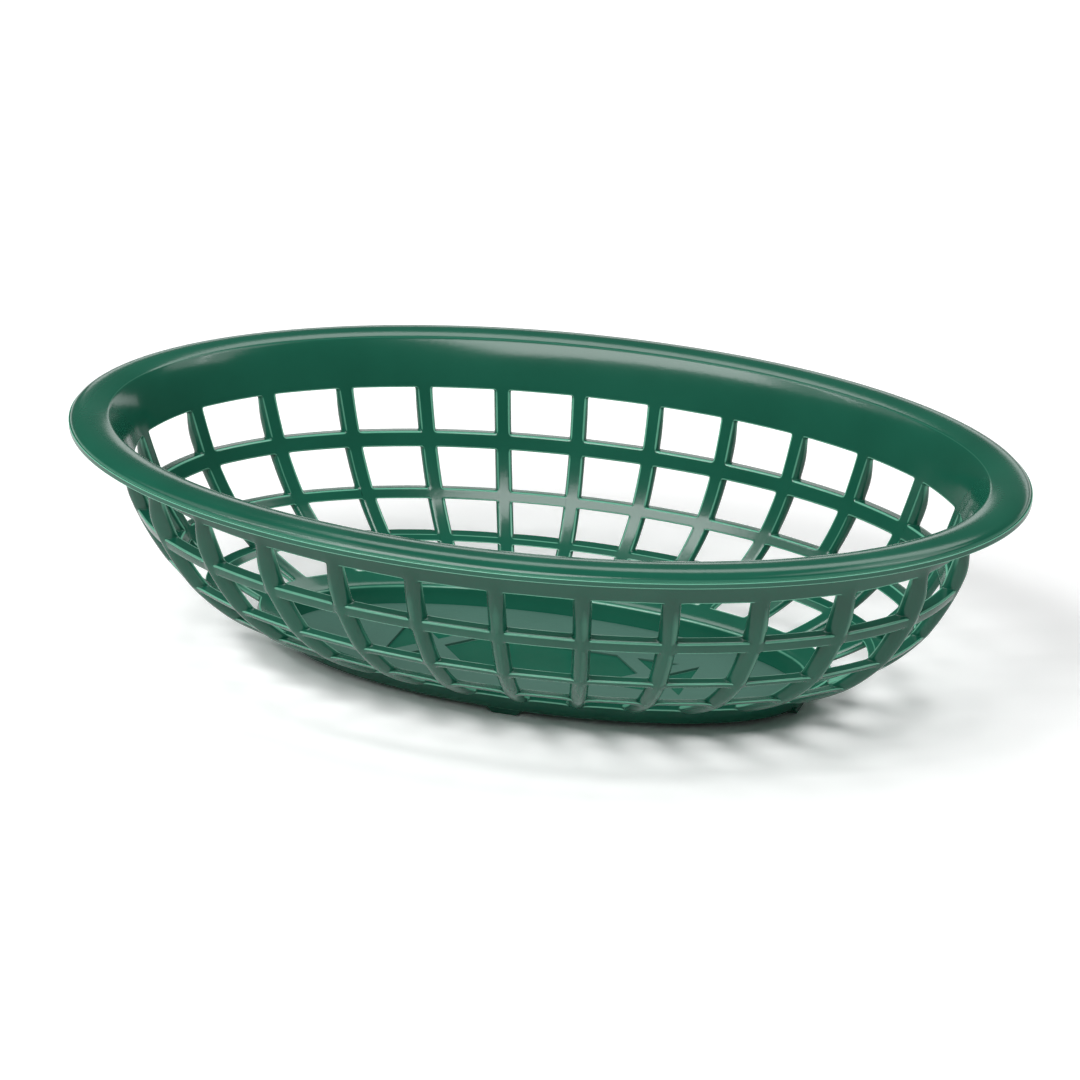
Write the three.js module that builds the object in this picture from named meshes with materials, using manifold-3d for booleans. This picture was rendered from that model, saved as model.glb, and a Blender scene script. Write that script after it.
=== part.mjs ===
// Oval serving basket: a moulded bowl with a rolled rim, a lattice wall of hoops and ribs, and a
// recessed foot. Millimetres, +Z up, the long axis along X, the foot nubs standing on z = 0.
import * as THREE from 'three';
import { mergeVertices } from 'three/addons/utils/BufferGeometryUtils.js';
import Module from 'manifold-3d';

const wasm = await Module();
wasm.setup();

// Overall sizes
const rimLength = 238;
const rimWidth = 148;
const basketHeight = 61.2;
const seam = 0.25; // gap left where two pieces of the moulding meet

// Rim: insets are measured from the outline, drops from the crest
const rimFlange = 10.3; // inset of the mouth
const mouthDrop = 1.5;
const rimCrest = 5.1; // inset of the crest
const rimSkin = 1.8;
const rimDepth = 3.6; // drop of the rim's lower edge
const rimEdge = 1.5; // thickness of that edge
const lipProud = 0.4; // parting lip that stands out from the roll
const lipDrop = 2.2;
const rimRoot = 2.4; // how far the rim's own piece reaches down the wall

// Wall curve: where its two handles lie, as shares of the wall's inward run and of its drop
const topRunShare = 0.245;
const topDropShare = 0.23;
const baseRunShare = 0.113;
const baseDropShare = 0.76;

// Lattice wall, measured down the wall from the mouth
const bandHeight = 12.3;
const bandThickness = 1.8;
const upperHoop = { inner: 4.1, outer: 3.1, thickness: 3.2 };
const middleHoop = { inner: 2.8, outer: 1.8, thickness: 2.5 };
const lowerHoop = { inner: 2, outer: 2.2, thickness: 1.8 };
const windowShares = [11.3, 10.65, 10, 9.4]; // relative heights of the window rows, from the top
const ribCount = 26;
const ribFace = 3.2; // width of a rib's inner face
const ribWidth = 4.4;
const ribShoulder = 1.3; // depth at which a rib is widest
const ribTopDepth = 4.3;
const ribBaseDepth = 2.3;
const ribBridge = 0.1; // least that a rib stands over a hoop that it crosses
const ribRunOut = 4; // length over which a rib's end sinks to the piece it meets

// Base
const flangeWidth = 4.7;
const flangeThickness = 1.6;
const flangeHeight = 7.65; // top of the base flange at the recess
const recessLength = 133.6;
const recessWidth = 54;
const recessRound = 1.6;
const footWall = 1.5;
const footTaper = 1.6; // how far the recess wall leans in at its foot
const footEdge = 0.5; // chamfer on the foot's outer edge
const nubHeight = 1.4;
const nubLength = 9.6;
const nubTip = 6.2;
const nubWidth = 3;

// Floor
const floorThickness = 1.4;
const floorLift = 0.2; // underside of the floor above the foot ring's edge
const panelDepth = 0.7;
const medallionLength = 50;
const medallionPoint = 8; // length of each pointed end
const medallionWidth = 16.8;
const webWidth = 3.7;

// Mesh fineness
const segmentsPerBay = 4;
const rollSteps = 5;
const mouthSteps = 4;
const crestSteps = 4;
const ribSteps = 7;

const ringSegments = ribCount * segmentsPerBay;
const rimHalf = { x: rimLength / 2, y: rimWidth / 2 };
const mouth = { x: rimHalf.x - rimFlange, y: rimHalf.y - rimFlange, z: basketHeight - mouthDrop };
const base = {
  x: recessLength / 2 + recessRound,
  y: recessWidth / 2 + recessRound,
  z: flangeHeight,
};
const wallRun = (mouth.x - base.x + mouth.y - base.y) / 2;

// The wall's inner face as a curve of inset from the mouth against height
const wallCurve = new THREE.CubicBezierCurve(
  new THREE.Vector2(0, mouth.z),
  new THREE.Vector2(wallRun * topRunShare, THREE.MathUtils.lerp(mouth.z, base.z, topDropShare)),
  new THREE.Vector2(wallRun * baseRunShare, THREE.MathUtils.lerp(mouth.z, base.z, baseDropShare)),
  new THREE.Vector2(wallRun, base.z),
);
wallCurve.arcLengthDivisions = 400;
const wallLength = wallCurve.getLength();

// Arc positions of the hoops: the window rows share what the band, hoops and flange leave
const hoops = [upperHoop, middleHoop, lowerHoop];
const flangeStart = wallLength - flangeWidth;
const hoopTotal = hoops.reduce((sum, hoop) => sum + hoop.inner, 0);
const windowTotal = flangeStart - bandHeight - hoopTotal;
const shareTotal = windowShares.reduce((sum, share) => sum + share, 0);

function hoopTop(index) {
  let arc = bandHeight;
  for (let row = 0; row <= index; row += 1) {
    arc += (windowTotal * windowShares[row]) / shareTotal;
    arc += row < index ? hoops[row].inner : 0;
  }
  return arc;
}

// Half axes and height of the oval at an arc position, moved outward by a depth from the inner face
function wallStation(arc, depth) {
  const point = wallCurve.getPointAt(arc / wallLength);
  const slope = wallCurve.getTangentAt(arc / wallLength);
  const share = (point.x + depth * slope.y) / wallRun;
  return {
    x: THREE.MathUtils.lerp(mouth.x, base.x, share),
    y: THREE.MathUtils.lerp(mouth.y, base.y, share),
    z: point.y - depth * slope.x,
  };
}

function rimStation(inset, drop) {
  return { x: rimHalf.x - inset, y: rimHalf.y - inset, z: basketHeight - drop };
}

function ovalCurve(station) {
  const curve = new THREE.EllipseCurve(0, 0, station.x, station.y, 0, 2 * Math.PI);
  curve.arcLengthDivisions = ringSegments * segmentsPerBay;
  return curve;
}

function ovalPoint(station, share) {
  const point = ovalCurve(station).getPointAt(share);
  return new THREE.Vector3(point.x, point.y, station.z);
}

function solidGeometry(points, triangles) {
  const geometry = new THREE.BufferGeometry();
  geometry.setAttribute('position', new THREE.Float32BufferAttribute(points, 3));
  geometry.setIndex(triangles);
  return geometry;
}

// A ring with a closed profile of oval stations, listed outer face upward, top inward, inner face down.
// Phase moves its corners round the oval by a share of one segment.
function ringGeometry(profile, phase = 0) {
  const points = [];
  const triangles = [];
  const curves = profile.map(ovalCurve);
  const count = profile.length;
  for (let i = 0; i < ringSegments; i += 1) {
    const next = (i + 1) % ringSegments;
    profile.forEach((station, j) => {
      const point = curves[j].getPointAt((i + phase) / ringSegments);
      points.push(point.x, point.y, station.z);
      const up = (j + 1) % count;
      triangles.push(i * count + j, next * count + j, next * count + up);
      triangles.push(i * count + j, next * count + up, i * count + up);
    });
  }
  return solidGeometry(points, triangles);
}

// A bar through a list of like sections, each a convex loop of points, closed at both ends
function barGeometry(sections) {
  const count = sections[0].length;
  const last = (sections.length - 1) * count;
  const points = sections.flat().flatMap((point) => point.toArray());
  const triangles = [];
  for (let k = 0; k < sections.length - 1; k += 1) {
    for (let m = 0; m < count; m += 1) {
      const here = k * count + m;
      const beside = k * count + ((m + 1) % count);
      triangles.push(here, beside, beside + count);
      triangles.push(here, beside + count, here + count);
    }
  }
  for (let m = 1; m < count - 1; m += 1) {
    triangles.push(0, m + 1, m);
    triangles.push(last, last + m, last + m + 1);
  }
  return solidGeometry(points, triangles);
}

function toSolid(geometry) {
  return new wasm.Manifold(new wasm.Mesh({
    numProp: 3,
    vertProperties: new Float32Array(geometry.attributes.position.array),
    triVerts: new Uint32Array(geometry.index.array),
  }));
}

function fromSolid(solid) {
  const mesh = solid.getMesh();
  return solidGeometry(Array.from(mesh.vertProperties), Array.from(mesh.triVerts));
}

function extruded(shape, depth) {
  const geometry = new THREE.ExtrudeGeometry(shape, {
    depth,
    bevelEnabled: false,
    curveSegments: ringSegments / 2,
  });
  geometry.deleteAttribute('normal');
  geometry.deleteAttribute('uv');
  return mergeVertices(geometry);
}

function plastic(geometry) {
  const material = new THREE.MeshStandardMaterial({ color: 0x1d6a4c, roughness: 0.32, metalness: 0 });
  return new THREE.Mesh(geometry, material);
}

// Quarter of an oval across the rim's section, from a point near its outer edge up to its crest
function rollArc(edge, edgeDrop, crestDrop) {
  const stations = [];
  for (let step = 0; step <= rollSteps; step += 1) {
    const turn = (Math.PI / 2) * (step / rollSteps);
    const inset = rimCrest - (rimCrest - edge) * Math.cos(turn);
    stations.push(rimStation(inset, edgeDrop - (edgeDrop - crestDrop) * Math.sin(turn)));
  }
  return stations;
}

// Curve from the crest over into the slope of the wall
function mouthArc() {
  const slope = wallCurve.getTangentAt(0);
  const bend = rimFlange + (mouthDrop * slope.x) / slope.y;
  const curve = new THREE.QuadraticBezierCurve(
    new THREE.Vector2(rimCrest, 0),
    new THREE.Vector2(bend, 0),
    new THREE.Vector2(rimFlange, mouthDrop),
  );
  const beyondCrest = curve.getPoints(mouthSteps).slice(1);
  return beyondCrest.map((point) => rimStation(point.x, point.y));
}

// Rolled rim: a low dome with a parting lip at its outer edge and an open channel below
function rim() {
  return plastic(ringGeometry([
    rimStation(0, rimDepth),
    rimStation(0, lipDrop),
    ...rollArc(lipProud, lipDrop, 0),
    ...mouthArc(),
    wallStation(rimRoot, 0),
    wallStation(rimRoot, bandThickness),
    ...rollArc(rimEdge, rimDepth, rimSkin).reverse(),
  ]));
}

// Solid part of the wall between the rim and the windows
function upperBand() {
  const top = rimRoot + seam;
  return plastic(ringGeometry([
    wallStation(bandHeight, bandThickness),
    wallStation(top, bandThickness),
    wallStation(top, 0),
    wallStation(bandHeight, 0),
  ]));
}

// Hoop that lies level in the sloping wall, so its outer face sits higher up the wall than its inner one.
// It can be grown on all sides by a clearance.
function hoopGeometry(index, clearance, phase) {
  const { inner, outer, thickness } = hoops[index];
  const centre = hoopTop(index) + inner / 2;
  const slope = wallCurve.getTangentAt(centre / wallLength);
  const climb = slope.x / slope.y; // arc gained for each unit of depth along a level line
  const flare = (outer - inner) / (2 * thickness);
  const corner = (side, depth) => {
    const gain = climb + side * flare;
    const arc = centre + side * (inner / 2 + clearance * Math.hypot(1, gain)) + gain * depth;
    return wallStation(arc, depth);
  };
  return ringGeometry([
    corner(1, thickness + clearance),
    corner(-1, thickness + clearance),
    corner(-1, -clearance),
    corner(1, -clearance),
  ], phase);
}

// Middle of a rib's inner face at an arc position, with the directions across it and outward
function ribFrame(share, arc) {
  const station = wallStation(arc, 0);
  const above = ovalPoint(wallStation(arc - seam, 0), share);
  const below = ovalPoint(wallStation(arc + seam, 0), share);
  const flat = ovalCurve(station).getTangentAt(share);
  const across = new THREE.Vector3(flat.x, flat.y, 0);
  const along = below.sub(above).normalize();
  const outward = along.cross(across).normalize();
  return { centre: ovalPoint(station, share), across, outward };
}

// Thickness of the hoops at an arc position, run on evenly from one hoop to the next
function hoopThickness(arc) {
  const centres = hoops.map((hoop, index) => hoopTop(index) + hoop.inner / 2);
  const next = centres.findIndex((centre) => centre > arc);
  if (next === 0) return hoops[0].thickness;
  if (next < 0) return hoops[hoops.length - 1].thickness;
  const [above, below] = [hoops[next - 1].thickness, hoops[next].thickness];
  return THREE.MathUtils.mapLinear(arc, centres[next - 1], centres[next], above, below);
}

// Depth of a rib: an even taper that still stands over every hoop that it crosses
function ribDepth(share, arc) {
  const taper = THREE.MathUtils.mapLinear(arc, bandHeight + seam, flangeStart - seam, ribTopDepth, ribBaseDepth);
  const { centre, outward } = ribFrame(share, arc);
  const hoopFace = ovalPoint(wallStation(arc, hoopThickness(arc) + seam), share);
  return Math.max(taper, hoopFace.sub(centre).dot(outward) + ribBridge);
}

// Loop of points across a rib: narrow inner face, sides that widen to the shoulders, and a rounded crest
function ribSection(share, arc, depth) {
  const { centre, across, outward } = ribFrame(share, arc);
  const half = ribWidth / 2;
  const place = (side, out) => centre.clone().addScaledVector(across, side).addScaledVector(outward, out);
  const loop = [place(-ribFace / 2, 0), place(ribFace / 2, 0)];
  const shoulder = Math.min(ribShoulder, depth / 2);
  for (let step = 0; step <= crestSteps; step += 1) {
    const turn = (Math.PI * step) / crestSteps;
    loop.push(place(half * Math.cos(turn), shoulder + (depth - shoulder) * Math.sin(turn)));
  }
  return loop;
}

// Rib down the outside of the wall, shallower towards its foot, notched where it crosses the hoops
function rib(share, cutter) {
  const top = bandHeight + seam;
  const bottom = flangeStart - seam;
  const sections = [ribSection(share, top, bandThickness)];
  for (let step = 0; step <= ribSteps; step += 1) {
    const arc = THREE.MathUtils.lerp(top + ribRunOut, bottom - ribRunOut, step / ribSteps);
    sections.push(ribSection(share, arc, ribDepth(share, arc)));
  }
  sections.push(ribSection(share, bottom, flangeThickness));
  return plastic(fromSolid(toSolid(barGeometry(sections)).subtract(cutter)));
}

// Flange round the recess, rounded over into the recess wall
function baseFlange() {
  const low = flangeHeight - recessRound;
  const diagonal = recessRound * (1 - Math.SQRT1_2);
  const wallTop = { x: recessLength / 2, y: recessWidth / 2, z: low };
  const turn = { x: wallTop.x + diagonal, y: wallTop.y + diagonal, z: flangeHeight - diagonal };
  return plastic(ringGeometry([
    { x: wallTop.x + footWall, y: wallTop.y + footWall, z: low },
    wallStation(flangeStart, flangeThickness),
    wallStation(flangeStart, 0),
    base,
    turn,
    wallTop,
  ]));
}

const footLow = nubHeight;
const footInner = { x: recessLength / 2 - footTaper, y: recessWidth / 2 - footTaper };

// Wall of the recess, whose lower edge is the basket's foot
function footRing() {
  const top = flangeHeight - recessRound - seam;
  const outer = { x: footInner.x + footWall, y: footInner.y + footWall };
  return plastic(ringGeometry([
    { x: outer.x - footEdge, y: outer.y - footEdge, z: footLow },
    { x: outer.x, y: outer.y, z: footLow + footEdge },
    { x: recessLength / 2 + footWall, y: recessWidth / 2 + footWall, z: top },
    { x: recessLength / 2, y: recessWidth / 2, z: top },
    { x: footInner.x, y: footInner.y, z: footLow },
  ]));
}

// Outlines of the panels sunk into the floor: a medallion and three triangles at each end
function panelOutlines() {
  const point = medallionLength / 2;
  const half = medallionWidth / 2;
  const reach = medallionPoint;
  const flat = point - reach;
  const stride = (webWidth * Math.hypot(reach, half)) / half; // web measured along X
  const apexLift = (stride * half) / (2 * reach);
  const medallion = [[point, 0], [flat, half], [-flat, half], [-point, 0], [-flat, -half], [flat, -half]];
  const outlines = [medallion];
  for (const end of [1, -1]) {
    const tip = point + stride;
    outlines.push([[end * tip, 0], [end * (tip + reach), -half], [end * (tip + reach), half]]);
    for (const side of [1, -1]) {
      outlines.push([
        [end * (flat + stride), side * half],
        [end * (point + stride / 2), side * apexLift],
        [end * (point + reach), side * half],
      ]);
    }
  }
  return outlines;
}

// Oval floor inside the foot ring with its sunk panels
function floorPlate() {
  const bottom = footLow + floorLift;
  const top = bottom + floorThickness;
  const oval = new THREE.Shape();
  oval.absellipse(0, 0, footInner.x - seam, footInner.y - seam, 0, 2 * Math.PI);
  let solid = toSolid(extruded(oval, floorThickness).translate(0, 0, bottom));
  for (const outline of panelOutlines()) {
    const shape = new THREE.Shape(outline.map(([x, y]) => new THREE.Vector2(x, y)));
    solid = solid.subtract(toSolid(extruded(shape, floorThickness).translate(0, 0, top - panelDepth)));
  }
  return plastic(fromSolid(solid));
}

// Tapered nub under the foot ring, at a quarter point of the oval
function footNub(quarter) {
  const halfTop = nubLength / 2;
  const halfTip = nubTip / 2;
  const outline = [[-halfTip, 0], [halfTip, 0], [halfTop, nubHeight - seam], [-halfTop, nubHeight - seam]];
  const shape = new THREE.Shape(outline.map(([x, z]) => new THREE.Vector2(x, z)));
  const geometry = extruded(shape, nubWidth);
  geometry.rotateX(Math.PI / 2);
  const inner = quarter % 2 === 0 ? footInner.x : footInner.y;
  const outerEdge = inner + footWall - footEdge;
  geometry.translate(0, nubWidth - outerEdge, 0);
  geometry.rotateZ((quarter + 1) * (Math.PI / 2));
  return plastic(geometry);
}

const basket = new THREE.Group();

function addPiece(name, mesh) {
  mesh.name = name;
  basket.add(mesh);
}

addPiece('rim', rim());
addPiece('upper_band', upperBand());
const hoopNames = ['hoop_upper', 'hoop_middle', 'hoop_lower'];
hoopNames.forEach((name, index) => addPiece(name, plastic(hoopGeometry(index, 0, 0))));
const flatAtRib = 0.5; // puts the middle of a segment, not a corner, under each rib
const ribCutter = hoops
  .map((hoop, index) => toSolid(hoopGeometry(index, seam, flatAtRib)))
  .reduce((joined, solid) => joined.add(solid));
for (let index = 0; index < ribCount; index += 1) {
  addPiece(`rib_${String(index + 1).padStart(2, '0')}`, rib(index / ribCount, ribCutter));
}
addPiece('base_flange', baseFlange());
addPiece('foot_ring', footRing());
addPiece('floor_plate', floorPlate());
for (let quarter = 0; quarter < 4; quarter += 1) {
  addPiece(`foot_nub_${quarter + 1}`, footNub(quarter));
}

export default basket;
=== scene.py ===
# Looks of the oval serving basket: one moulded green lattice bowl on a white studio floor.
# The basket's lengths are millimetres and become metres where a mesh is made; the studio's are metres.
import math
import bmesh
import bpy
import numpy as np
from mathutils import Matrix, Vector


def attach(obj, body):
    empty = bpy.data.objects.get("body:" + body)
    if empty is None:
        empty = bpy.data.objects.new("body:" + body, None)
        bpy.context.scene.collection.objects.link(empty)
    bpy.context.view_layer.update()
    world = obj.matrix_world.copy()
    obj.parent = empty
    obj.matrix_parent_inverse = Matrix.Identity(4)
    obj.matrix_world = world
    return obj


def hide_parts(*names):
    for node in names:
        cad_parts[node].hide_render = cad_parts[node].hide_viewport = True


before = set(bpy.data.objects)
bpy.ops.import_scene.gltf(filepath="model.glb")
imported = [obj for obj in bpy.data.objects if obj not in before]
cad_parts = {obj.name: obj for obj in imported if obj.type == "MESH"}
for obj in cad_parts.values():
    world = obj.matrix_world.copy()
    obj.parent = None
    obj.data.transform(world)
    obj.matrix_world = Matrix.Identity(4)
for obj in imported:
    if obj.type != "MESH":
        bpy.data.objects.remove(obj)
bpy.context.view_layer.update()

MM = 0.001

# Overall sizes and rim
RIM_LENGTH = 238
RIM_WIDTH = 148
HEIGHT = 61.2
RIM_FLANGE = 10.3  # inset of the mouth from the outline
MOUTH_DROP = 1.5
RIM_CREST = 5.1  # inset of the crest
RIM_SKIN = 1.8
RIM_DEPTH = 3.6
RIM_EDGE = 1.5
LIP_PROUD = 0.4
LIP_DROP = 2.2
RIM_ROOT = 2.4  # how far the rim's own piece reaches down the wall

# Wall curve: handles as shares of its inward run and of its drop
TOP_RUN_SHARE, TOP_DROP_SHARE = 0.245, 0.23
BASE_RUN_SHARE, BASE_DROP_SHARE = 0.113, 0.76

# Lattice, measured down the wall from the mouth
BAND_HEIGHT = 12.3
BAND_THICKNESS = 1.8
HOOPS = (
    {"node": "hoop_upper", "inner": 4.1, "outer": 3.1, "thickness": 3.2},
    {"node": "hoop_middle", "inner": 2.8, "outer": 1.8, "thickness": 2.5},
    {"node": "hoop_lower", "inner": 2.0, "outer": 2.2, "thickness": 1.8},
)
WINDOW_SHARES = (11.3, 10.65, 10, 9.4)
RIB_COUNT = 26
RIB_FACE = 3.2
RIB_TOP_DEPTH = 4.3
RIB_BASE_DEPTH = 2.3
CORNER = 0.9  # reach of a window's rounded corner

# Base and floor
FLANGE_WIDTH = 4.7
FLANGE_THICKNESS = 1.6
FLANGE_HEIGHT = 7.65
RECESS_LENGTH = 133.6
RECESS_WIDTH = 54
RECESS_ROUND = 1.6
FOOT_WALL = 1.5
FOOT_TAPER = 1.6
NUB_HEIGHT = 1.4
NUB_LENGTH = 9.6
NUB_TIP = 6.2
NUB_WIDTH = 3
FLOOR_THICKNESS = 1.4
FLOOR_LIFT = 0.2
PANEL_DEPTH = 0.7
MEDALLION_LENGTH = 50
MEDALLION_POINT = 8
MEDALLION_WIDTH = 16.8
WEB_WIDTH = 3.7

mouth = np.array([RIM_LENGTH / 2 - RIM_FLANGE, RIM_WIDTH / 2 - RIM_FLANGE, HEIGHT - MOUTH_DROP])
recess = np.array([RECESS_LENGTH / 2, RECESS_WIDTH / 2])
base = np.array([*(recess + RECESS_ROUND), FLANGE_HEIGHT])
foot_inner = recess - FOOT_TAPER
wall_run = float(np.mean((mouth - base)[:2]))


def wall_table(samples=1200):
    """Arc length, inset and height along the wall's inner face, from the mouth down."""
    top = mouth[2]
    drop = FLANGE_HEIGHT - top
    handles = np.array([
        [0, top],
        [wall_run * TOP_RUN_SHARE, top + drop * TOP_DROP_SHARE],
        [wall_run * BASE_RUN_SHARE, top + drop * BASE_DROP_SHARE],
        [wall_run, FLANGE_HEIGHT],
    ])
    t = np.linspace(0, 1, samples)[:, None]
    weights = np.hstack([(1 - t) ** 3, 3 * t * (1 - t) ** 2, 3 * t * t * (1 - t), t ** 3])
    curve = weights @ handles
    arc = np.concatenate([[0], np.cumsum(np.hypot(*np.diff(curve, axis=0).T))])
    return arc, curve[:, 0], curve[:, 1]


ARC, INSET, LEVEL = wall_table()
SLOPE_IN = np.gradient(INSET, ARC)
SLOPE_UP = np.gradient(LEVEL, ARC)
WALL_LENGTH = float(ARC[-1])
FLANGE_START = WALL_LENGTH - FLANGE_WIDTH


def wall_station(arc, depth):
    """Half axes and height of the oval at an arc position, moved outward by a depth."""
    inset, level = np.interp(arc, ARC, INSET), np.interp(arc, ARC, LEVEL)
    inward, upward = np.interp(arc, ARC, SLOPE_IN), np.interp(arc, ARC, SLOPE_UP)
    share = (inset + depth * upward) / wall_run
    axes = mouth[:2] + (base - mouth)[:2] * share
    return (*axes, level - depth * inward)


def rim_station(inset, drop):
    """Oval inside the rim's outline and below its crest."""
    return (RIM_LENGTH / 2 - inset, RIM_WIDTH / 2 - inset, HEIGHT - drop)


def foot_station(outward, z):
    """Oval outside the recess's upper outline, at a height."""
    return (recess[0] + outward, recess[1] + outward, z)


OVAL_STEPS = 1440
TURN = np.linspace(0, 2 * math.pi, OVAL_STEPS + 1)


def oval(station):
    """Points round an oval and their running length."""
    x, y = station[0] * np.cos(TURN), station[1] * np.sin(TURN)
    length = np.concatenate([[0], np.cumsum(np.hypot(np.diff(x), np.diff(y)))])
    return x, y, length


def column_positions(bay, half, even):
    """Places of the six columns of a bay from a rib's centre, moved by a share towards equal steps."""
    close = (0, half, half + CORNER, bay / 2, bay - half - CORNER, bay - half)
    return [place + (bay * c / len(close) - place) * even for c, place in enumerate(close)]


def window_edges():
    """Arc positions of each window row's upper and lower edge on the wall's inner face."""
    free = FLANGE_START - BAND_HEIGHT - sum(hoop["inner"] for hoop in HOOPS)
    edges = []
    arc = BAND_HEIGHT
    for row, share in enumerate(WINDOW_SHARES):
        low = arc + free * share / sum(WINDOW_SHARES)
        edges.append((arc, low))
        arc = low + (HOOPS[row]["inner"] if row < len(HOOPS) else 0)
    return edges


WINDOWS = window_edges()


def outer_edges(index):
    """Arc positions of a hoop's outer face, which lies level with its inner face."""
    hoop = HOOPS[index]
    top = WINDOWS[index][1]
    centre = top + hoop["inner"] / 2
    climb = np.interp(centre, ARC, SLOPE_IN) / np.interp(centre, ARC, SLOPE_UP)
    shifted = centre + climb * hoop["thickness"]
    return shifted - hoop["outer"] / 2, shifted + hoop["outer"] / 2


def rib_depth(arc):
    """Depth of a rib's crest, which tapers evenly from the band to the flange."""
    return float(np.interp(arc, [BAND_HEIGHT, FLANGE_START], [RIB_TOP_DEPTH, RIB_BASE_DEPTH]))


class Cage:
    """Quads of the coarse skin, each with the name of the node that it belongs to."""

    def __init__(self):
        self.points = []
        self.faces = []
        self.nodes = []
        self.creases = {}

    def point(self, station, k, place):
        """Adds a corner on an oval, at a distance past the centre of rib k."""
        x, y, length = oval(station)
        at = (k * length[-1] / RIB_COUNT + place) % length[-1]
        self.points.append((np.interp(at, length, x), np.interp(at, length, y), station[2]))
        return len(self.points) - 1

    def face(self, corners, node):
        self.faces.append(corners)
        self.nodes.append(node)

    def crease(self, a, b, value):
        self.creases[frozenset((a, b))] = value


# Columns of a bay: a rib's centre, its edge, a corner, the window's middle, a corner, the next rib's edge
ALL_COLUMNS = range(6)
LEFT_EDGE, MIDDLE, RIGHT_EDGE = 1, 3, 5
RIB_COLUMNS = (0, LEFT_EDGE, RIGHT_EDGE)


def next_corner(k, c):
    """Place in a line after column c of bay k."""
    return (k, c + 1) if c < RIGHT_EDGE else ((k + 1) % RIB_COUNT, 0)


def add_line(cage, stations, half, columns=ALL_COLUMNS, even=0):
    """One line of cage corners round the oval; stations gives each column's own oval."""
    line = {}
    for k in range(RIB_COUNT):
        for c in columns:
            station = stations[c] if isinstance(stations, dict) else stations
            bay = oval(station)[2][-1] / RIB_COUNT
            line[k, c] = cage.point(station, k, column_positions(bay, half, even)[c])
    return line


def by_column(centre, edge, window):
    """Stations for the rib's centre, its two edges and the columns between ribs."""
    return {0: centre, LEFT_EDGE: edge, 2: window, MIDDLE: window, 4: window, RIGHT_EDGE: edge}


CREST_LIFT = 0.18  # cage crest above the rib's crest, which the smoothing takes off again
RIB_EDGE_DROP = 0.5
RIB_EDGE_HALF = 1.5
RIB_OVER_BAND = 0.7  # how far a rib's crest stands over the band where it starts
RIB_TOP_DIP = 1.6  # how far the crest is held back just below the band
RIB_OVER_FLANGE = 0.8
HOOP_CROWN = 0.12  # bulge of a hoop's outer face
LINES_PER_ROW = 6  # five lines of a window row and the centre line of the hoop below


def lattice_lines(cage):
    """Inner and outer lines of the lattice with the loops round each window."""
    inner, outer, names, opened = [], [], [], []

    def add(arc_in, arc_out, rib, depth, node, full, is_open):
        columns = ALL_COLUMNS if full else RIB_COLUMNS
        inner.append(add_line(cage, wall_station(arc_in, 0), RIB_FACE / 2, columns))
        crest = wall_station(arc_out, rib + CREST_LIFT)
        edge = wall_station(arc_out, max(rib - RIB_EDGE_DROP, depth))
        between = wall_station(arc_out, depth)
        outer.append(add_line(cage, by_column(crest, edge, between), RIB_EDGE_HALF, columns))
        names.append(node)
        opened.append(is_open)

    for row, (top, low) in enumerate(WINDOWS):
        if row == 0:
            top_out, depth_top = top, BAND_THICKNESS
        else:
            top_out, depth_top = outer_edges(row - 1)[1], HOOPS[row - 1]["thickness"]
        if row < len(HOOPS):
            low_out, depth_low = outer_edges(row)[0], HOOPS[row]["thickness"]
        else:
            low_out, depth_low = low, FLANGE_THICKNESS
        first, last = row == 0, row == len(HOOPS)
        rib_top = BAND_THICKNESS + RIB_OVER_BAND if first else rib_depth(top)
        rib_low = FLANGE_THICKNESS + RIB_OVER_FLANGE if last else rib_depth(low)
        add(top, top_out, rib_top, depth_top, "window", True, True)
        near = rib_depth(top + CORNER) - (RIB_TOP_DIP if first else 0)
        add(top + CORNER, top_out + CORNER, near, 0, "window", False, True)
        middle = (top + low) / 2
        add(middle, (top_out + low_out) / 2, rib_depth(middle), 0, "window", False, True)
        add(low - CORNER, low_out - CORNER, rib_depth(low - CORNER), 0, "window", False, True)
        node = HOOPS[row]["node"] if not last else "base_flange"
        add(low, low_out, rib_low, depth_low, node, True, False)
        if not last:
            hoop = HOOPS[row]
            centre = low + hoop["inner"] / 2
            arc_out = sum(outer_edges(row)) / 2
            crown = hoop["thickness"] + HOOP_CROWN
            add(centre, arc_out, rib_depth(centre), crown, node, True, False)
    return inner, outer, names, opened


def rib_name(k):
    return f"rib_{k % RIB_COUNT + 1:02d}"


def sheet_faces(cage, upper, lower, node, flip, ribs=False, opened=False):
    """Quads between two lines, with the ribs as their own nodes, left out across opened windows."""
    for k in range(RIB_COUNT):
        for c in ALL_COLUMNS:
            if opened and LEFT_EDGE <= c < RIGHT_EDGE:
                continue
            right = next_corner(k, c)
            rib = k + 1 if c == RIGHT_EDGE else k
            owner = rib_name(rib) if ribs and c in (0, RIGHT_EDGE) else node
            corners = [upper[k, c], upper[right], lower[right], lower[k, c]]
            cage.face(corners[::-1] if flip else corners, owner)


# Line and column of each corner round a window, from its upper left
TOP_LINE, LOW_LINE = 0, 4
WINDOW_LOOP = (
    [(TOP_LINE, c) for c in range(LEFT_EDGE, RIGHT_EDGE + 1)]
    + [(line, RIGHT_EDGE) for line in (1, 2, 3)]
    + [(LOW_LINE, c) for c in range(RIGHT_EDGE, LEFT_EDGE - 1, -1)]
    + [(line, LEFT_EDGE) for line in (3, 2, 1)]
)
INNER_EDGE_CREASE = 0.42
OUTER_EDGE_CREASE = 0.36
HOOP_SHARE = 0.5  # place of the middle loop between the inner and the outer line, at a hoop
SHOULDER_SHARE = 0.40625  # and at a rib's shoulder
SHOULDER_REACH = 0.95  # cage shoulder beyond a rib's face, of which smoothing leaves about two thirds


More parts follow.
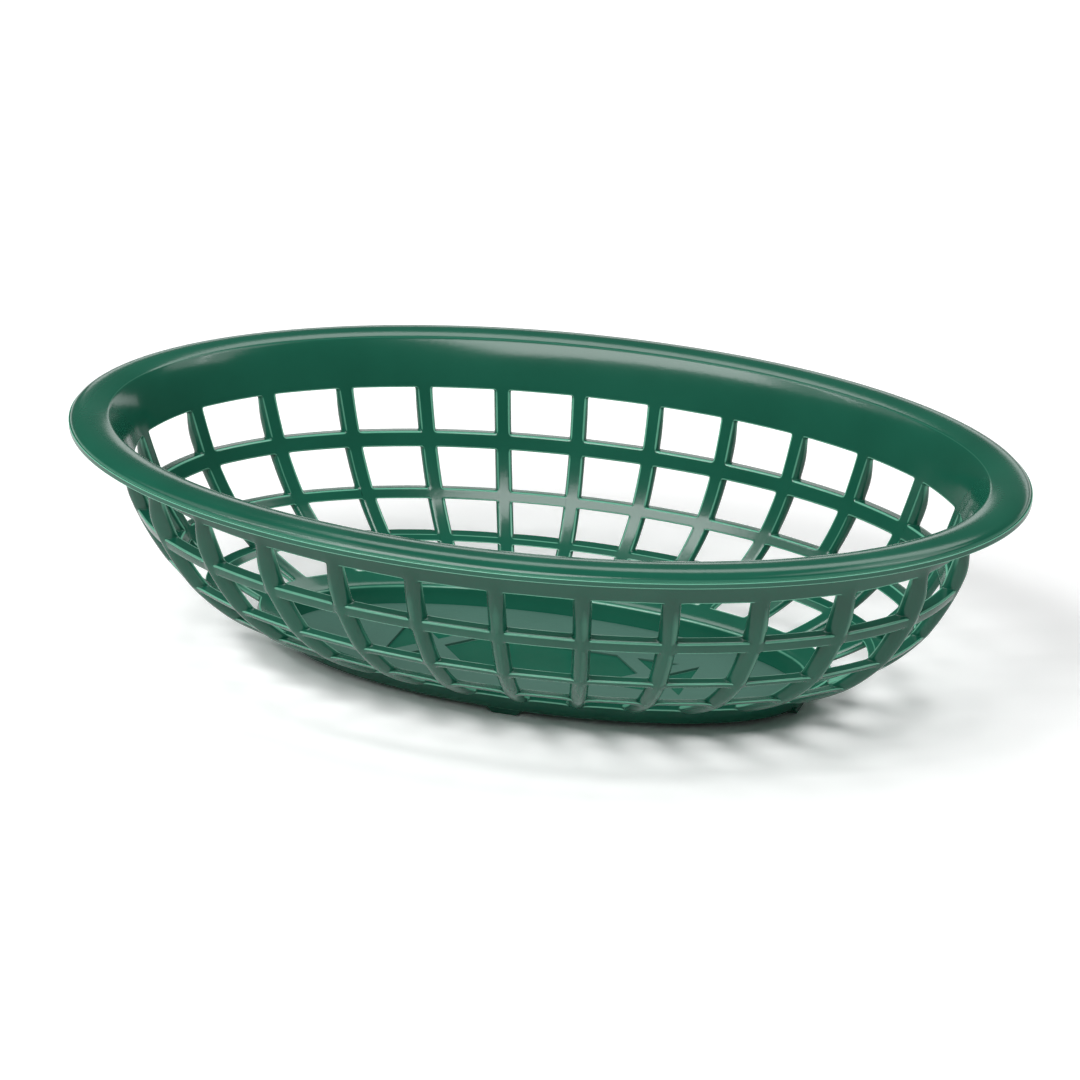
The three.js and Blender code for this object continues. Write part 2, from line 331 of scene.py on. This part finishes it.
def window_walls(cage, inner, outer, first, above, below):
    """Walls of one row of windows, with a middle loop at the ribs' shoulders."""
    for k in range(RIB_COUNT):
        rims_in = [inner[first + line][k, c] for line, c in WINDOW_LOOP]
        rims_out = [outer[first + line][k, c] for line, c in WINDOW_LOOP]
        centre = np.array(cage.points[inner[first][k, MIDDLE]])
        middle = []
        for (line, c), a, b in zip(WINDOW_LOOP, rims_in, rims_out):
            inside, outside = np.array(cage.points[a]), np.array(cage.points[b])
            at_rib = c in (LEFT_EDGE, RIGHT_EDGE)
            place = inside + (outside - inside) * (SHOULDER_SHARE if at_rib else HOOP_SHARE)
            if at_rib:
                toward = centre - np.array(cage.points[inner[first][k, c]])
                place = place + toward / np.linalg.norm(toward) * SHOULDER_REACH
            cage.points.append(tuple(place))
            middle.append(len(cage.points) - 1)
        count = len(WINDOW_LOOP)
        for i in range(count):
            j = (i + 1) % count
            line, column = WINDOW_LOOP[i]
            level = line == WINDOW_LOOP[j][0]
            if level:
                owner = above if line == TOP_LINE else below
            else:
                owner = rib_name(k + 1) if column == RIGHT_EDGE else rib_name(k)
            cage.face([rims_in[i], rims_in[j], middle[j], middle[i]], owner)
            cage.face([middle[i], middle[j], rims_out[j], rims_out[i]], owner)
            cage.crease(rims_in[i], rims_in[j], INNER_EDGE_CREASE)
            if level:
                cage.crease(rims_out[i], rims_out[j], OUTER_EDGE_CREASE)


def roll_arc(edge, edge_drop, crest_drop, turns):
    """Stations on a quarter oval across the rim, turned in degrees from its outer edge to the crest."""
    stations = []
    for turn in np.radians(turns):
        inset = RIM_CREST - (RIM_CREST - edge) * math.cos(turn)
        stations.append(rim_station(inset, edge_drop - (edge_drop - crest_drop) * math.sin(turn)))
    return stations


FLANGE_CURVE = 12  # radius of the gentle fall from the crest towards the mouth
MOUTH_CORNER = (9.88, 0.95)  # inset and drop where that fall meets the wall's slope
MOUTH_LINES = (1.2, 0.2)  # arc positions of the lines just below the mouth
FLANGE_LINES = (9.1, 7.9, 6.5)  # insets of the lines on the fall
CROWN_TURNS = (90, 72, 55, 40, 26, 13, 3)
CHANNEL_TURNS = (10, 28, 50, 72, 90)
CHANNEL_CORNER = (7.8, 0.9)  # inset, and drop below the rim's skin, where the channel meets the wall
OUTLINE_INSET = 0.02
LOWER_EDGE_RUN, LOWER_EDGE_RISE = 0.2, 0.15  # rounding of the rim's lower edge
BAND_LINES = (11.1, 7.5, 4.5)  # arc positions of the lines on the band
RIB_START_LINE = 10.6  # arc position where the ribs start to stand out from the band
RIB_START_LIFT = 0.25
BAND_EVEN = (0.3, 0.7, 1)  # shares by which their columns spread from the ribs to the rim's equal steps


def flange_station(inset):
    """Oval on the gentle fall from the crest towards the mouth."""
    fall = FLANGE_CURVE - math.sqrt(FLANGE_CURVE ** 2 - (inset - RIM_CREST) ** 2)
    return rim_station(inset, fall)


def rim_stations():
    """Path from the band's inner face over the mouth and round the rim to the band's outer face."""
    inner_wall = [(wall_station(arc, 0), "upper_band") for arc in BAND_LINES]
    rim = [
        *[wall_station(arc, 0) for arc in (RIM_ROOT, *MOUTH_LINES)],
        rim_station(*MOUTH_CORNER),
        *[flange_station(inset) for inset in FLANGE_LINES],
        *roll_arc(LIP_PROUD, LIP_DROP, 0, CROWN_TURNS),
        rim_station(LIP_PROUD, LIP_DROP),
        rim_station(OUTLINE_INSET, LIP_DROP),
        rim_station(OUTLINE_INSET, (LIP_DROP + RIM_DEPTH) / 2),
        rim_station(OUTLINE_INSET, RIM_DEPTH - LOWER_EDGE_RISE),
        rim_station(LOWER_EDGE_RUN, RIM_DEPTH),
        rim_station(RIM_EDGE - LOWER_EDGE_RUN, RIM_DEPTH),
        *roll_arc(RIM_EDGE, RIM_DEPTH, RIM_SKIN, CHANNEL_TURNS),
        rim_station(CHANNEL_CORNER[0], RIM_SKIN + CHANNEL_CORNER[1]),
        wall_station(RIM_ROOT, BAND_THICKNESS),
    ]
    outer_wall = [(wall_station(arc, BAND_THICKNESS), "upper_band") for arc in BAND_LINES[:0:-1]]
    return inner_wall, [(station, "rim") for station in rim], outer_wall


LIP_LINES = (14, 15, 17)  # places in the rim's list of the ledge's two edges and the lower edge
LIP_CREASE = 0.5

FLANGE_STEPS = (1.2, 3.2)  # distances down the flange of the lines on its inner face
RECESS_EDGE = ((RECESS_ROUND, 0.05), (0.25, 0.3), (0, RECESS_ROUND))  # reach and drop round the edge
FOOT_WAIST = 0.4  # how far the foot has tapered at the heights of its middle lines
WAIST_INNER, WAIST_OUTER = 4.6, 4.4
FOOT_INNER_RUN, FOOT_INNER_RISE = 0.3, 0.25  # rounding of the foot's lower edge inside
FOOT_OUTER_ROUND = 0.5
UNDER_CORNER = (0.9, 0.1)  # reach and rise where the foot meets the flange's underside
UNDER_STEP = 1.4


def base_stations():
    """Path from the flange's inner face through the recess, under the foot and back up to the flange."""
    low = NUB_HEIGHT
    flange_in = [
        *[wall_station(FLANGE_START + step, 0) for step in FLANGE_STEPS],
        *[foot_station(reach, FLANGE_HEIGHT - drop) for reach, drop in RECESS_EDGE],
    ]
    foot = [
        foot_station(-FOOT_WAIST, WAIST_INNER),
        foot_station(-FOOT_TAPER, low + FOOT_INNER_RISE),
        foot_station(-FOOT_TAPER + FOOT_INNER_RUN, low),
        foot_station(-FOOT_TAPER + FOOT_WALL - FOOT_OUTER_ROUND, low),
        foot_station(-FOOT_TAPER + FOOT_WALL, low + FOOT_OUTER_ROUND),
        foot_station(-FOOT_WAIST + FOOT_WALL, WAIST_OUTER),
        foot_station(FOOT_WALL, FLANGE_HEIGHT - RECESS_ROUND),
    ]
    underside = FLANGE_HEIGHT - FLANGE_THICKNESS
    flange_out = [
        foot_station(FOOT_WALL + UNDER_CORNER[0], underside + UNDER_CORNER[1]),
        wall_station(FLANGE_START + UNDER_STEP, FLANGE_THICKNESS),
    ]
    path = [(flange_in, "base_flange"), (foot, "foot_ring"), (flange_out, "base_flange")]
    return [(station, node) for stations, node in path for station in stations]


def add_lattice(cage):
    """Both faces of the lattice and its window walls. Returns its inner and outer lines."""
    inner, outer, names, opened = lattice_lines(cage)
    for i in range(len(inner) - 1):
        sheet_faces(cage, inner[i], inner[i + 1], names[i], True, ribs=True, opened=opened[i])
        sheet_faces(cage, outer[i], outer[i + 1], names[i], False, ribs=True, opened=opened[i])
    level_nodes = ["upper_band"] + [hoop["node"] for hoop in HOOPS] + ["base_flange"]
    for row in range(len(WINDOWS)):
        window_walls(cage, inner, outer, row * LINES_PER_ROW, level_nodes[row], level_nodes[row + 1])
    return inner, outer


def join_lines(cage, lines, own, other, flip):
    """Sheets between following lines. A sheet is the node own's where both its lines are."""
    for (a, node_a), (b, node_b) in zip(lines, lines[1:]):
        sheet_faces(cage, a, b, own if node_a == node_b == own else other, flip)


def add_rim(cage, inner_top, outer_top):
    """Band and rim, from the lattice's top line inside, over the rim, to its top line outside."""
    inner_wall, rim, outer_wall = rim_stations()
    lines = [(inner_top, "upper_band")]
    shares = [*BAND_EVEN, *[1] * len(rim), *BAND_EVEN[:0:-1]]
    for (station, node), even in zip(inner_wall + rim + outer_wall, shares):
        lines.append((add_line(cage, station, RIB_FACE / 2, even=even), node))
    rib_start = wall_station(RIB_START_LINE, BAND_THICKNESS + RIB_START_LIFT)
    band = wall_station(RIB_START_LINE, BAND_THICKNESS)
    band_line = add_line(cage, by_column(rib_start, band, band), RIB_FACE / 2, even=BAND_EVEN[0])
    lines.append((band_line, "upper_band"))
    lines.append((outer_top, "upper_band"))
    join_lines(cage, lines, "rim", "upper_band", flip=False)
    rim_start = 1 + len(inner_wall)
    for place in LIP_LINES:
        line = lines[rim_start + place][0]
        for k in range(RIB_COUNT):
            for c in ALL_COLUMNS:
                cage.crease(line[k, c], line[next_corner(k, c)], LIP_CREASE)


def add_base(cage, inner_low, outer_low):
    """Flange and foot ring, from the lattice's lowest line inside to its lowest line outside."""
    lines = [(inner_low, "base_flange")]
    for station, node in base_stations():
        lines.append((add_line(cage, station, RIB_FACE / 2), node))
    lines.append((outer_low, "base_flange"))
    join_lines(cage, lines, "foot_ring", "base_flange", flip=True)


def build_cage():
    cage = Cage()
    inner, outer = add_lattice(cage)
    add_rim(cage, inner[0], outer[0])
    add_base(cage, inner[-1], outer[-1])
    return cage


def applied_mesh(piece):
    """A new mesh of an object with its modifiers applied."""
    bpy.context.view_layer.update()
    shown = piece.evaluated_get(bpy.context.evaluated_depsgraph_get())
    return bpy.data.meshes.new_from_object(shown)


SMOOTH_LEVELS = 2


def smooth_skin(cage):
    """The cage's smoothed mesh, whose material index gives the node of each face."""
    order = sorted(set(cage.nodes))
    mesh = bpy.data.meshes.new("skin_cage")
    mesh.from_pydata([tuple(np.array(p) * MM) for p in cage.points], [], cage.faces)
    mesh.polygons.foreach_set("material_index", [order.index(n) for n in cage.nodes])
    turned = bmesh.new()
    turned.from_mesh(mesh)
    bmesh.ops.recalc_face_normals(turned, faces=turned.faces)
    turned.to_mesh(mesh)
    turned.free()
    creases = mesh.attributes.new("crease_edge", "FLOAT", "EDGE")
    values = [cage.creases.get(frozenset(edge.vertices), 0.0) for edge in mesh.edges]
    creases.data.foreach_set("value", values)
    carrier = bpy.data.objects.new("skin_cage", mesh)
    bpy.context.scene.collection.objects.link(carrier)
    smoothing = carrier.modifiers.new("smooth", "SUBSURF")
    smoothing.levels = SMOOTH_LEVELS
    skin = applied_mesh(carrier)
    bpy.data.objects.remove(carrier)
    return skin, order


def boundary_loops(faces):
    """Closed loops of corners along the open edges of a list of faces."""
    follow = {}
    seen = set()
    for face in faces:
        for a, b in zip(face, face[1:] + face[:1]):
            seen.add((a, b))
    for a, b in seen:
        if (b, a) not in seen:
            follow[b] = a
    loops = []
    while follow:
        start, at = follow.popitem()
        loop = [start]
        while at != start:
            loop.append(at)
            at = follow.pop(at)
        loops.append(loop)
    return loops


LONG_LOOP = 200  # a loop with more corners runs round the whole oval


def closing_faces(faces, points):
    """Faces that close a cut piece: a cap on each small loop, a strip between loops round the oval."""
    caps = []
    rings = []
    for loop in boundary_loops(faces):
        if len(loop) > LONG_LOOP:
            rings.append(loop)
        else:
            caps.append(loop)
    rings.sort(key=lambda loop: points[loop[0]][2])
    while len(rings) >= 2:
        one, two = rings.pop(), rings.pop()
        two = two[::-1]
        gaps = [np.sum((points[one[0]] - points[i]) ** 2) for i in two]
        shift = int(np.argmin(gaps))
        two = two[shift:] + two[:shift]
        for i in range(len(one)):
            j = (i + 1) % len(one)
            caps.append([one[i], one[j], two[j], two[i]])
    return caps


LEAST_SQUARE = 1e-12  # keeps an edge without length from dividing by nothing


def edge_bend(skin, points, normals):
    """How sharply the skin bends outward at each corner, as a mean curvature per metre."""
    ends = np.array([edge.vertices for edge in skin.edges])
    step = points[ends[:, 1]] - points[ends[:, 0]]
    square = np.maximum(np.sum(step ** 2, axis=1), LEAST_SQUARE)
    total, count = np.zeros(len(points)), np.zeros(len(points))
    for side, sign in ((0, -1), (1, 1)):
        at = ends[:, side]
        np.add.at(total, at, sign * np.sum(normals[at] * step, axis=1) / square)
        np.add.at(count, at, 1)
    return 2 * total / count


def cut_pieces(skin, order):
    """One closed object for each node, sharing the whole skin's normals so that no cut shows."""
    points = np.array([v.co for v in skin.vertices])
    normals = np.array([v.vector for v in skin.vertex_normals])
    bend = edge_bend(skin, points, normals)
    owners = [polygon.material_index for polygon in skin.polygons]
    corners = [list(polygon.vertices) for polygon in skin.polygons]
    pieces = []
    for index, node in enumerate(order):
        faces = [face for face, owner in zip(corners, owners) if owner == index]
        faces = faces + closing_faces(faces, points)
        used = sorted({i for face in faces for i in face})
        place = {old: new for new, old in enumerate(used)}
        mesh = bpy.data.meshes.new(node + "_skin")
        mesh.from_pydata(points[used].tolist(), [], [[place[i] for i in face] for face in faces])
        mesh.update()
        mesh.polygons.foreach_set("use_smooth", [True] * len(mesh.polygons))
        mesh.normals_split_custom_set_from_vertices(normals[used].tolist())
        mesh.attributes.new("edge_bend", "FLOAT", "POINT").data.foreach_set("value", bend[used])
        pieces.append(new_piece(node + "_skin", mesh, node))
    return pieces


def new_piece(name, mesh, *nodes):
    """Visible object in place of the CAD nodes named."""
    piece = bpy.data.objects.new(name, mesh)
    bpy.context.scene.collection.objects.link(piece)
    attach(piece, "root")
    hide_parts(*nodes)
    return piece


def panel_outlines():
    """Outlines of the panels sunk into the floor: a medallion and three triangles at each end."""
    point, half, reach = MEDALLION_LENGTH / 2, MEDALLION_WIDTH / 2, MEDALLION_POINT
    flat = point - reach
    stride = WEB_WIDTH * math.hypot(reach, half) / half
    apex = stride * half / (2 * reach)
    corners = ((point, 0), (flat, half), (-flat, half))
    outlines = [[*corners, *[(-x, -y) for x, y in corners]]]
    for end in (1, -1):
        tip = point + stride
        outlines.append([(end * tip, 0), (end * (tip + reach), -half), (end * (tip + reach), half)])
        for side in (1, -1):
            outlines.append([
                (end * (flat + stride), side * half),
                (end * (point + stride / 2), side * apex),
                (end * (point + reach), side * half),
            ])
    return outlines


def prism(name, outline, low, high):
    """Closed upright block over an outline."""
    shape = bmesh.new()
    bottom = [shape.verts.new((x * MM, y * MM, low * MM)) for x, y in outline]
    top = [shape.verts.new((x * MM, y * MM, high * MM)) for x, y in outline]
    shape.faces.new(bottom[::-1])
    shape.faces.new(top)
    for i in range(len(outline)):
        j = (i + 1) % len(outline)
        shape.faces.new((bottom[i], bottom[j], top[j], top[i]))
    bmesh.ops.recalc_face_normals(shape, faces=shape.faces)
    mesh = bpy.data.meshes.new(name)
    shape.to_mesh(mesh)
    shape.free()
    block = bpy.data.objects.new(name, mesh)
    bpy.context.scene.collection.objects.link(block)
    return block


FLOOR_BASE = NUB_HEIGHT + FLOOR_LIFT
FLOOR_TOP = FLOOR_BASE + FLOOR_THICKNESS
FLOOR_OVERLAP = 0.6  # how far the floor's edge runs into the foot ring
FLOOR_SIDES = 192
CUT_OVER = 1  # how far a cutting block stands over the floor
EDGE_ROUND = 0.18


def floor_plate():
    """Oval plate with the panels cut into it and its edges rounded."""
    axes = foot_inner + FLOOR_OVERLAP
    turns = [2 * math.pi * i / FLOOR_SIDES for i in range(FLOOR_SIDES)]
    outline = [(axes[0] * math.cos(t), axes[1] * math.sin(t)) for t in turns]
    plate = prism("floor_block", outline, FLOOR_BASE, FLOOR_TOP)
    cutters = []
    for panel in panel_outlines():
        cutter = prism("panel_block", panel, FLOOR_TOP - PANEL_DEPTH, FLOOR_TOP + CUT_OVER)
        cut = plate.modifiers.new("panel", "BOOLEAN")
        cut.operation = "DIFFERENCE"
        cut.solver = "EXACT"
        cut.object = cutter
        cutters.append(cutter)
    rounding = plate.modifiers.new("edges", "BEVEL")
    rounding.width = EDGE_ROUND * MM
    rounding.segments = 2
    rounding.limit_method = "ANGLE"
    mesh = applied_mesh(plate)
    for block in cutters + [plate]:
        bpy.data.objects.remove(block)
    return new_piece("floor_plate_skin", mesh, "floor_plate")


def matt_sheen_margin(piece, material):
    """Gives the floor's raised face the second material, matt with a paler green of painted sheen, and
    leaves its sunk panels glossy.
    """
    piece.data.materials.append(material)
    for polygon in piece.data.polygons:
        if polygon.center.z > (FLOOR_TOP - PANEL_DEPTH / 2) * MM:
            polygon.material_index = 1


NUB_SINK = 0.3  # how far a nub runs up into the foot ring
NUB_ROUND = 0.3
NUB_FACES = ((0, 1, 2, 3), (7, 6, 5, 4), (0, 4, 5, 1), (1, 5, 6, 2), (2, 6, 7, 3), (3, 7, 4, 0))


def foot_nub(quarter):
    """Tapered nub below the foot ring at a quarter point of the oval."""
    inner = foot_inner[0] if quarter % 2 == 0 else foot_inner[1]
    outer_edge = inner + FOOT_WALL - FOOT_OUTER_ROUND
    tip, top = NUB_TIP / 2, NUB_LENGTH / 2
    rise = NUB_HEIGHT + NUB_SINK
    shape = bmesh.new()
    corners = []
    for y in (outer_edge - NUB_WIDTH, outer_edge):
        for x, z in ((-tip, 0), (tip, 0), (top, rise), (-top, rise)):
            corners.append(shape.verts.new((x * MM, y * MM, z * MM)))
    for quad in NUB_FACES:
        shape.faces.new([corners[i] for i in quad])
    bmesh.ops.recalc_face_normals(shape, faces=shape.faces)
    edges = list(shape.edges)
    bmesh.ops.bevel(shape, geom=edges, offset=NUB_ROUND * MM, segments=2, affect="EDGES", profile=0.5)
    shape.transform(Matrix.Rotation((quarter - 1) * math.pi / 2, 4, "Z"))
    node = f"foot_nub_{quarter + 1}"
    mesh = bpy.data.meshes.new(node + "_skin")
    shape.to_mesh(mesh)
    shape.free()
    return new_piece(node + "_skin", mesh, node)


# Plastic
EDGE_BEND = (270, 620)  # bend at which the painted glow and highlight along thin edges starts, and is strongest
EDGE_GLOW_SHARE = 0.88
EDGE_GLOW_COLOUR = (0.17, 0.52, 0.36)
MOTTLE_SCALE, MOTTLE_DETAIL = 38, 4
MOTTLE_SPAN = (0.3, 0.7)
GRAIN_SCALE, GRAIN_DETAIL = 900, 3
GRAIN_DEPTH = 0.0003  # metres
PLASTIC_IOR = 1.49
GLOSSY_GREENS = ((0.0066, 0.09, 0.054), (0.0092, 0.112, 0.068))
GLOSSY_ROUGHNESS, GLOSSY_GRAIN = (0.13, 0.21), 0.05
# Paler greens of the floor's raised face: the plastic's green lifted by a painted sheen of the bright
# surroundings; the roughness gives the real matt finish.
MATT_SHEEN_GREENS = ((0.042, 0.125, 0.094), (0.054, 0.148, 0.113))
MATT_ROUGHNESS, MATT_GRAIN = (0.5, 0.65), 0.2


def moulded_plastic(name, dark, light, gloss_range, grain_strength):
    """Green polypropylene with a faint flow mottle, a painted glow and highlight along thin edges, and a
    fine surface texture.
    """
    material = bpy.data.materials.new(name)
    material.use_nodes = True
    nodes, links = material.node_tree.nodes, material.node_tree.links
    shader = nodes["Principled BSDF"]
    place = nodes.new("ShaderNodeTexCoord")
    mottle = nodes.new("ShaderNodeTexNoise")
    mottle.inputs["Scale"].default_value = MOTTLE_SCALE
    mottle.inputs["Detail"].default_value = MOTTLE_DETAIL
    colour = nodes.new("ShaderNodeValToRGB")
    for stop, position, green in zip(colour.color_ramp.elements, MOTTLE_SPAN, (dark, light)):
        stop.position = position
        stop.color = (*green, 1)
    # Paler green painted on sharply bent edges: a painted glow of light through the thin plastic and a
    # painted highlight on the rounded edges.
    bend = nodes.new("ShaderNodeAttribute")
    bend.attribute_name = "edge_bend"
    edge = nodes.new("ShaderNodeMapRange")
    edge.inputs["From Min"].default_value = EDGE_BEND[0]
    edge.inputs["From Max"].default_value = EDGE_BEND[1]
    edge.inputs["To Max"].default_value = EDGE_GLOW_SHARE
    painted_edge_glow = nodes.new("ShaderNodeMix")
    painted_edge_glow.data_type = "RGBA"
    painted_edge_glow.inputs["B"].default_value = (*EDGE_GLOW_COLOUR, 1)
    grain = nodes.new("ShaderNodeTexNoise")
    grain.inputs["Scale"].default_value = GRAIN_SCALE
    grain.inputs["Detail"].default_value = GRAIN_DETAIL
    gloss = nodes.new("ShaderNodeMapRange")
    gloss.inputs["To Min"].default_value = gloss_range[0]
    gloss.inputs["To Max"].default_value = gloss_range[1]
    bump = nodes.new("ShaderNodeBump")
    bump.inputs["Strength"].default_value = grain_strength
    bump.inputs["Distance"].default_value = GRAIN_DEPTH
    links.new(place.outputs["Object"], mottle.inputs["Vector"])
    links.new(place.outputs["Object"], grain.inputs["Vector"])
    links.new(mottle.outputs["Fac"], colour.inputs["Fac"])
    links.new(bend.outputs["Fac"], edge.inputs["Value"])
    links.new(edge.outputs["Result"], painted_edge_glow.inputs["Factor"])
    links.new(colour.outputs["Color"], painted_edge_glow.inputs["A"])
    links.new(painted_edge_glow.outputs["Result"], shader.inputs["Base Color"])
    links.new(mottle.outputs["Fac"], gloss.inputs["Value"])
    links.new(gloss.outputs["Result"], shader.inputs["Roughness"])
    links.new(grain.outputs["Fac"], bump.inputs["Height"])
    links.new(bump.outputs["Normal"], shader.inputs["Normal"])
    shader.inputs["IOR"].default_value = PLASTIC_IOR
    return material


# Studio, in metres and watts
FLOOR_REACH = 6.0
FLOOR_WHITE = (0.92, 1.17)  # to the light, and to the camera
FLOOR_ROUGHNESS = 0.8
SURROUND_LEVEL = (0.1, 1.0)  # to the light, and to the camera
AIM = Vector((0, 0, 0.03))


def studio_floor():
    """Wide white floor that shows white to the camera and keeps the basket's shadow."""
    mesh = bpy.data.meshes.new("studio_floor")
    corners = [(x * FLOOR_REACH, y * FLOOR_REACH, 0) for x, y in ((-1, -1), (1, -1), (1, 1), (-1, 1))]
    mesh.from_pydata(corners, [], [(0, 1, 2, 3)])
    floor = bpy.data.objects.new("studio_floor", mesh)
    bpy.context.scene.collection.objects.link(floor)
    material = bpy.data.materials.new("white_floor")
    material.use_nodes = True
    nodes, links = material.node_tree.nodes, material.node_tree.links
    shader = nodes["Principled BSDF"]
    shader.inputs["Roughness"].default_value = FLOOR_ROUGHNESS
    shader.inputs["Specular IOR Level"].default_value = 0.0
    rays = nodes.new("ShaderNodeLightPath")
    white = nodes.new("ShaderNodeMapRange")
    white.inputs["To Min"].default_value, white.inputs["To Max"].default_value = FLOOR_WHITE
    links.new(rays.outputs["Is Camera Ray"], white.inputs["Value"])
    links.new(white.outputs["Result"], shader.inputs["Base Color"])
    mesh.materials.append(material)


def area_light(name, place, size, power):
    """Soft lamp aimed at the basket."""
    lamp = bpy.data.lights.new(name, "AREA")
    lamp.shape = "RECTANGLE"
    lamp.size, lamp.size_y = size
    lamp.energy = power
    carrier = bpy.data.objects.new(name, lamp)
    carrier.location = place
    aim = AIM - Vector(place)
    carrier.rotation_mode = "QUATERNION"
    carrier.rotation_quaternion = aim.to_track_quat("-Z", "Y")
    bpy.context.scene.collection.objects.link(carrier)


def studio_light():
    """Dim white surroundings, white to the camera, and soft lamps round the basket."""
    world = bpy.data.worlds.new("studio")
    world.use_nodes = True
    bpy.context.scene.world = world
    nodes, links = world.node_tree.nodes, world.node_tree.links
    background = nodes["Background"]
    background.inputs["Color"].default_value = (1, 1, 1, 1)
    rays = nodes.new("ShaderNodeLightPath")
    level = nodes.new("ShaderNodeMapRange")
    level.inputs["To Min"].default_value, level.inputs["To Max"].default_value = SURROUND_LEVEL
    links.new(rays.outputs["Is Camera Ray"], level.inputs["Value"])
    links.new(level.outputs["Result"], background.inputs["Strength"])
    area_light("overhead", (0.05, 0.9, 1.45), (1.6, 0.45), 7.5)
    area_light("left", (-1.25, -0.45, 1.6), (1.4, 1.4), 7)
    area_light("left_strip", (-1.14, -0.51, 1.43), (0.06, 0.8), 2.4)
    area_light("right", (1.1, 0.1, 1.6), (1.2, 1.2), 9)
    area_light("right_strip", (1.1, 0.0, 1.5), (0.06, 0.8), 1.4)
    area_light("front", (-0.45, -1.03, 1.26), (1.15, 0.8), 20)
    area_light("backdrop", (0.0, 2.2, 0.42), (3.2, 0.4), 5.5)


# Camera at the photograph's place, in millimetres, degrees and pixels of the photograph
CAMERA_DISTANCE = 1000
CAMERA_AZIMUTH = 19.264
CAMERA_ELEVATION = 24.181
CAMERA_ROLL = -0.015
CAMERA_TARGET = 24
FRAME_SIDE = 1080
FOCAL_PIXELS = 4125.3
CENTRE_PIXEL = (540.2, 580.2)
SENSOR = 36
CLIP_RANGE = (0.01, 50)  # metres


def photo_camera():
    """Camera with the photograph's view of the basket."""
    data = bpy.data.cameras.new("photo_camera")
    data.sensor_width = SENSOR
    data.lens = FOCAL_PIXELS / FRAME_SIDE * SENSOR
    data.shift_x = (FRAME_SIDE / 2 - CENTRE_PIXEL[0]) / FRAME_SIDE
    data.shift_y = (CENTRE_PIXEL[1] - FRAME_SIDE / 2) / FRAME_SIDE
    data.clip_start, data.clip_end = CLIP_RANGE
    camera = bpy.data.objects.new("photo_camera", data)
    a, e = math.radians(CAMERA_AZIMUTH), math.radians(CAMERA_ELEVATION)
    back = Vector((math.sin(a) * math.cos(e), -math.cos(a) * math.cos(e), math.sin(e)))
    camera.location = Vector((0, 0, CAMERA_TARGET * MM)) + back * CAMERA_DISTANCE * MM
    camera.rotation_mode = "QUATERNION"
    roll = Matrix.Rotation(math.radians(CAMERA_ROLL), 3, "Z").to_quaternion()
    camera.rotation_quaternion = (-back).to_track_quat("-Z", "Y") @ roll
    bpy.context.scene.collection.objects.link(camera)
    bpy.context.scene.camera = camera


skin, order = smooth_skin(build_cage())
pieces = cut_pieces(skin, order)
floor_piece = floor_plate()
pieces.append(floor_piece)
pieces += [foot_nub(quarter) for quarter in range(4)]
glossy = moulded_plastic("glossy_plastic", *GLOSSY_GREENS, GLOSSY_ROUGHNESS, GLOSSY_GRAIN)
matt_sheen = moulded_plastic("matt_sheen_plastic", *MATT_SHEEN_GREENS, MATT_ROUGHNESS, MATT_GRAIN)
for piece in pieces:
    piece.data.materials.clear()
    piece.data.materials.append(glossy)
matt_sheen_margin(floor_piece, matt_sheen)
studio_floor()
studio_light()
photo_camera()
bpy.context.scene.view_settings.view_transform = "Standard"
